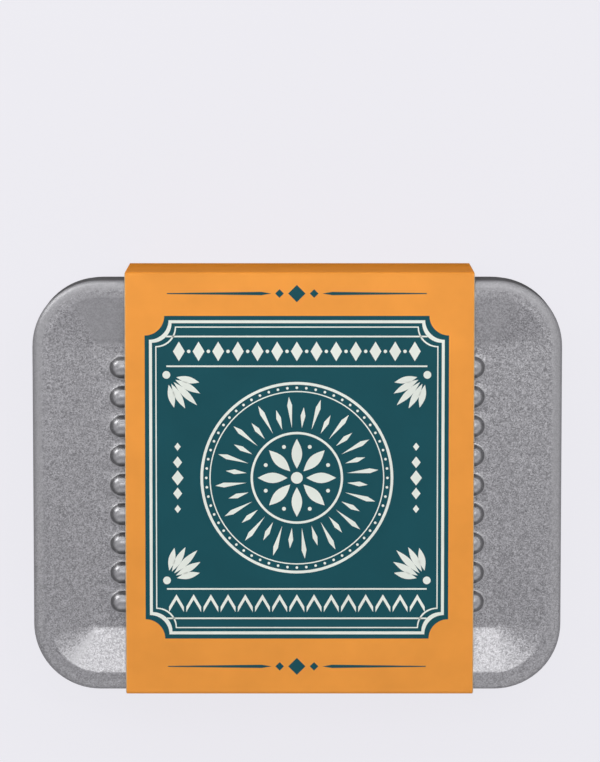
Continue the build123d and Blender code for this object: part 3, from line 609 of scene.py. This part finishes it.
# --- Print ---------------------------------------------------------------------------------
class Print:
    """Ink laid on the band as thin closed prisms, all in one piece of one colour."""

    def __init__(self, name, ink, top):
        self.name, self.ink, self.top = name, ink, top
        self.points, self.faces, self.count = [], [], 0

    def raise_outline(self, outline):
        """Adds an outline at the ink's top and once more at its foot, and returns the numbers
        of their points."""
        outline = np.asarray(outline)
        for height in (self.top, ink_foot):
            self.points.append(np.column_stack([outline, np.full(len(outline), height)]))
        upper = self.count + np.arange(len(outline))
        self.count += 2 * len(outline)
        return upper, upper + len(outline)

    def wall(self, upper, lower):
        """Four-sided faces all round between two rings of point numbers."""
        ahead = [np.roll(lower, -1), np.roll(upper, -1)]
        self.faces += np.stack([upper, lower, *ahead], 1).tolist()

    def shape(self, outline):
        """A solid shape inside one outline, run anticlockwise: a top, a foot and a wall."""
        top, foot = self.raise_outline(outline)
        self.faces += [top.tolist(), foot[::-1].tolist()]
        self.wall(top, foot)

    def line(self, outer, inner):
        """A closed line between two outlines with the same number of points: four walls, which
        run round its section from ring to ring."""
        outer_top, outer_foot = self.raise_outline(outer)
        inner_top, inner_foot = self.raise_outline(inner)
        self.wall(inner_top, outer_top)
        self.wall(outer_top, outer_foot)
        self.wall(outer_foot, inner_foot)
        self.wall(inner_foot, inner_top)

    def lay(self):
        """Makes the piece, fixes it to the band and gives it a mesh of its own."""
        piece = add_piece(self.name, self.points, self.faces, [self.ink])
        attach(piece, "band")
        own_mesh(piece)


def circle(x, y, radius, points=96):
    """Points round a circle, anticlockwise, at even angles."""
    return (x, y) + radius * unit(np.arange(points) * 2 * pi / points)


def scooped(x, y, half_x, half_y, scoop):
    """A rectangle whose corners are scooped out by quarter circles about them. The arc of each
    corner starts a quarter turn after the one before it, and runs back by a quarter turn."""
    corners = np.array([(1, 1), (-1, 1), (-1, -1), (1, -1)]) * (half_x, half_y)
    starts = (np.arange(4)[:, None] - 1) * pi / 2
    arcs = corners[:, None] + scoop * unit(starts - np.linspace(0, pi / 2, 13))
    return (x, y) + arcs.reshape(-1, 2)


def turned(outline, x, y, angle):
    """An outline turned by an angle about the origin and moved to a place."""
    along, aside = unit(angle), unit(angle + pi / 2)
    return (x, y) + np.asarray(outline) @ (along, aside)


def diamond(x, y, half_x, half_y):
    """A diamond with its corners on both axes."""
    return np.array([(half_x, 0), (0, half_y), (-half_x, 0), (0, -half_y)]) + (x, y)


def bar(x, y, half_x, half_y):
    """A rectangle."""
    return np.array([(-1, -1), (1, -1), (1, 1), (-1, 1)]) * (half_x, half_y) + (x, y)


def leaf(start, end, half_width, points=9):
    """A pointed leaf along the first axis: its width follows a half sine."""
    steps = np.linspace(0, 1, points)
    spine = start + (end - start) * steps
    width = half_width * np.sin(steps * pi)
    upper = np.column_stack([spine, width])[-2:0:-1]
    return np.vstack([np.column_stack([spine, -width]), upper])


def from_middle(distance, angle):
    """The point at a distance and an angle from the middle of the field."""
    return (field_x, field_y) + distance * unit(angle)


def keylines(ink):
    """Two closed lines inside the field's edge, each from one inset to another."""
    for insets in ((1.1, 1.85), (2.7, 3.0)):
        ink.line(*[
            scooped(field_x, field_y, field_half_x - inset, field_half_y - inset, field_scoop)
            for inset in insets
        ])


def roundel(ink):
    """Rings, a round of beads, a sunburst of long and short rays, and an eight-petalled rose
    with a dot between each two petals. What repeats stands at even angles."""
    for outer, inner in ((24.6, 23.9), (22.3, 22.0), (11.8, 11.2)):
        ink.line(circle(field_x, field_y, outer), circle(field_x, field_y, inner))
    beads, bead_circle, bead_radius = 60, 23.1, 0.34
    for bead in range(beads):
        bead_x, bead_y = from_middle(bead_circle, 2 * pi * bead / beads)
        ink.shape(circle(bead_x, bead_y, bead_radius, points=12))
    rays, ray_start, ray_ends = 32, 12.9, (20.9, 18.2)
    point, half_width = 2.2, 0.62
    for ray in range(rays):
        end = ray_ends[ray % 2]
        blade = [(ray_start, 0), (end - point, -half_width), (end, 0), (end - point, half_width)]
        ink.shape(turned(blade, field_x, field_y, 2 * pi * (ray + 0.5) / rays))
    petals, petal = 8, leaf(start=2.4, end=10.0, half_width=1.35)
    dot_circle, dot_radius, hub_radius = 8.6, 0.5, 1.5
    for step in range(petals):
        angle = 2 * pi * step / petals
        ink.shape(turned(petal, field_x, field_y, angle))
        dot_x, dot_y = from_middle(dot_circle, angle + pi / petals)
        ink.shape(circle(dot_x, dot_y, dot_radius, points=16))
    ink.shape(circle(field_x, field_y, hub_radius, points=32))


def friezes(ink):
    """Diamonds and dots above the roundel and chevrons below it, each between two rules."""
    inner_rule, outer_rule, middle = 28.6, 36.2, 32.4
    for side in (-1, 1):
        for rule in (inner_rule, outer_rule):
            ink.shape(bar(field_x, field_y + side * rule, half_x=33.2, half_y=0.2))
    diamond_pitch = 5.0
    for step in range(-6, 7):
        diamond_x = field_x + step * diamond_pitch
        ink.shape(diamond(diamond_x, field_y + middle, half_x=1.5, half_y=2.5))
    for step in range(-6, 6):
        dot_x = field_x + (step + 0.5) * diamond_pitch
        ink.shape(circle(dot_x, field_y + middle, radius=0.45, points=16))
    chevron_pitch, half, foot, peak, width = 4.4, 1.9, -2.2, 1.0, 1.4
    lower = np.array([(-half, foot), (0, peak), (half, foot)])
    chevron = np.vstack([lower, lower[::-1] + (0, width)])
    for step in range(-7, 8):
        ink.shape(chevron + (field_x + step * chevron_pitch, field_y - middle))


def corner_fans(ink):
    """A fan of five leaves at each corner of the field. They spread by equal angles about the
    diagonal through their root and shorten from the middle one outward."""
    root_x, root_y, root_radius = 33.2, 26.4, 1.0
    spread, longest, shortening = radians(16), 11.0, 1.2
    for side_x in (-1, 1):
        for side_y in (-1, 1):
            x, y = field_x + side_x * root_x, field_y + side_y * root_y
            inward = atan2(-side_y, -side_x)
            for step in range(-2, 3):
                blade = leaf(start=2.6, end=longest - shortening * abs(step), half_width=0.85)
                ink.shape(turned(blade, x, y, inward + step * spread))
            ink.shape(circle(x, y, root_radius, points=20))


def side_diamonds(ink):
    """Five diamonds on each side of the roundel, the largest in the middle."""
    away, pitch, largest, lessening, slimness = 30.4, 4.0, 1.5, 0.35, 1.3
    for side in (-1, 1):
        for step in range(-2, 3):
            half = largest - lessening * abs(step)
            x, y = field_x + side * away, field_y + step * pitch
            ink.shape(diamond(x, y, half, slimness * half))


def border_ornaments(ink):
    """On the orange above and below the field: a diamond between two small ones and two
    tapering rules, which run outward."""
    large, small, small_x = 2.2, 1.1, 4.4
    rule = [(6.5, 0), (9.0, -0.42), (33.0, -0.12), (33.0, 0.12), (9.0, 0.42)]
    above, below = 49.4, -46.4
    for y in (above, below):
        ink.shape(diamond(field_x, y, large, large))
        for side, way in ((-1, pi), (1, 0)):
            ink.shape(diamond(field_x + side * small_x, y, small, small))
            ink.shape(turned(rule, field_x, y, way))


field = Print("label_field", teal_ink, teal_top)
field.shape(scooped(field_x, field_y, field_half_x, field_half_y, field_scoop))
border_ornaments(field)
field.lay()

lines = Print("label_lines", cream_ink, cream_top)
for ornament in (keylines, roundel, friezes, corner_fans, side_diamonds):
    ornament(lines)
lines.lay()


# --- Finishes of the CAD pieces ------------------------------------------------------------
steel, nickel, zinc, foam = tool_steel(), bright_nickel(), hinge_steel(), flocked_foam()
nickel_words = ("spring", "pin", "screw", "rivet", "post")
remodelled = ("lid_shell", "base_shell", "card_band")


def finish_for(name):
    """The finish of a CAD piece, told from its name."""
    if "foam" in name:
        return foam
    if "hinge" in name:
        return zinc
    if any(word in name for word in nickel_words):
        return nickel
    return steel


for name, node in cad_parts.items():
    if name in remodelled:
        continue
    if not node.material_slots:
        node.data.materials.append(finish_for(name))
    for slot in node.material_slots:
        slot.material = finish_for(name)

# Each spring, listed with the y of its foot on its handle in metres, gets a mesh of its own.
for name, foot_y in (("nippers_lower_spring", 0.0127), ("nippers_upper_spring", 0.0413)):
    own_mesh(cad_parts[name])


# --- Floor, light and camera, in metres ----------------------------------------------------
floor_half = 3.0
floor_level = -0.0001
# The floor's painted shadow fades out between these distances from the tin's rectangle.
shadow_start, shadow_end = 0.008, 0.03
lamp_aim = (0, 0, 0.02)
lamp_level = 1.01
camera_place = (0.0007, 0.13325, 1.079)
camera_tilt = -5.79
sensor_width = 36.0
focal_length = 248.2


def studio_floor():
    """A floor that looks pale with a faint shadow. In the metal's reflections it carries a
    painted shadow of the set, dark beside the set and pale further off: how pale rises with the
    distance from the tin's rectangle, from the shadow's start to its end. Other rays see only
    the dim tone, with the same painted shadow."""
    paint = Paint("studio_floor")
    x, y, _ = paint.parts(paint.place, "XYZ")
    past_x = paint.math("SUBTRACT", paint.math("ABSOLUTE", x), (core[0] + corner_radius) * MM)
    past_y = paint.math("SUBTRACT", paint.math("ABSOLUTE", y), (core[1] + corner_radius) * MM)
    past = paint.math("MAXIMUM", past_x, past_y)
    out_of_painted_shadow = paint.spread(past, 0.0, 1.0, shadow_start, shadow_end)
    # Painted shadow: the floor's tone is darkest beside the tin's rectangle.
    painted_shadow_tone = paint.ramp(out_of_painted_shadow, (0.0, (0.05, 0.05, 0.05)), (1.0, (0.20, 0.20, 0.21)))
    dark = paint.add("BsdfDiffuse", Color=painted_shadow_tone).outputs[0]
    lit = paint.add("BsdfDiffuse", Color=(0.82, 0.81, 0.86, 1)).outputs[0]
    glow = paint.add("Emission", Color=(0.85, 0.841, 0.890, 1)).outputs[0]
    pale = paint.add("MixShader", 0.92, lit, glow).outputs[0]
    rays = paint.add("LightPath").outputs
    mirrored = paint.math("MAXIMUM", rays["Is Glossy Ray"], rays["Is Transmission Ray"])
    mirrored = paint.math("MULTIPLY", mirrored, out_of_painted_shadow)
    seen = paint.math("MAXIMUM", rays["Is Camera Ray"], mirrored)
    surface = paint.add("MixShader", seen, dark, pale).outputs[0]
    paint.feed(paint.tree.nodes["Material Output"], "Surface", surface)
    return paint.material


floor_mesh = bpy.data.meshes.new("studio_floor")
floor_corners = level_grid((-floor_half, floor_half), (-floor_half, floor_half), floor_level)
floor_mesh.from_pydata(floor_corners.reshape(-1, 3).tolist(), [], [(0, 1, 3, 2)])
floor_mesh.materials.append(studio_floor())
floor = bpy.data.objects.new("studio_floor", floor_mesh)
bpy.context.scene.collection.objects.link(floor)


def soft_box(compass, height, away, watts, size):
    """A rectangular area lamp, turned to the set. It stands so many metres away from its aim,
    at a compass angle from +X and a height angle above the bench, both in degrees."""
    name = f"soft_box_{compass}_{height}"
    lamp = bpy.data.lights.new(name, "AREA")
    lamp.shape = "RECTANGLE"
    lamp.size, lamp.size_y = size
    lamp.energy = lamp_level * watts
    flat, rise = unit(radians(height))
    way = Vector((*(flat * unit(radians(compass))), rise))
    holder = bpy.data.objects.new(name, lamp)
    holder.location = Vector(lamp_aim) + away * way
    holder.rotation_euler = (-way).to_track_quat("-Z", "Y").to_euler()
    bpy.context.scene.collection.objects.link(holder)


# Compass angle, height angle, metres away, watts and size of each lamp.
soft_boxes = (
    (0, 12, 0.65, 0.23, (0.60, 0.26)),
    (45, 12, 0.65, 0.60, (0.40, 0.26)),
    (90, 12, 0.65, 1.00, (0.40, 0.28)),
    (135, 12, 0.65, 2.50, (0.40, 0.28)),
    (225, 12, 0.65, 0.22, (0.80, 0.28)),
    (315, 12, 0.65, 0.16, (0.80, 0.28)),
    (0, 30, 0.65, 0.60, (0.70, 0.50)),
    (180, 30, 0.65, 0.35, (0.70, 0.50)),
    (270, 30, 0.65, 1.10, (0.80, 0.56)),
    (315, 30, 0.65, 0.20, (0.40, 0.28)),
    (90, 43, 0.65, 0.62, (0.50, 0.18)),
    (45, 50, 0.65, 0.43, (0.30, 0.22)),
    (180, 50, 0.65, 0.25, (0.30, 0.22)),
    (45, 70, 0.65, 0.26, (0.30, 0.22)),
    (135, 70, 0.65, 0.42, (0.30, 0.22)),
    (270, 70, 0.65, 0.06, (0.30, 0.22)),
    (315, 70, 0.65, 0.06, (0.30, 0.22)),
    (90, 68, 1.60, 1.70, (0.37, 0.26)),
    (47, 69, 1.60, 1.20, (0.17, 0.12)),
)
for values in soft_boxes:
    soft_box(*values)

world = bpy.data.worlds.new("studio")
bpy.context.scene.world = world
world.use_nodes = True
nodes, links = world.node_tree.nodes, world.node_tree.links
background = nodes["Background"].inputs
background["Color"].default_value = (0.832, 0.824, 0.873, 1)
rays = nodes.new("ShaderNodeLightPath").outputs
seen = rays["Is Camera Ray"]
for mirrored in ("Is Glossy Ray", "Is Transmission Ray"):
    either = nodes.new("ShaderNodeMath")
    either.operation = "MAXIMUM"
    links.new(seen, either.inputs[0])
    links.new(rays[mirrored], either.inputs[1])
    seen = either.outputs[0]
links.new(seen, background["Strength"])

lens = bpy.data.cameras.new("camera")
lens.sensor_fit = "HORIZONTAL"
lens.sensor_width = sensor_width
lens.lens = focal_length
camera = bpy.data.objects.new("camera", lens)
camera.location = camera_place
camera.rotation_euler = (radians(camera_tilt), 0, 0)
bpy.context.scene.collection.objects.link(camera)
bpy.context.scene.camera = camera
bpy.context.scene.view_settings.view_transform = "Standard"
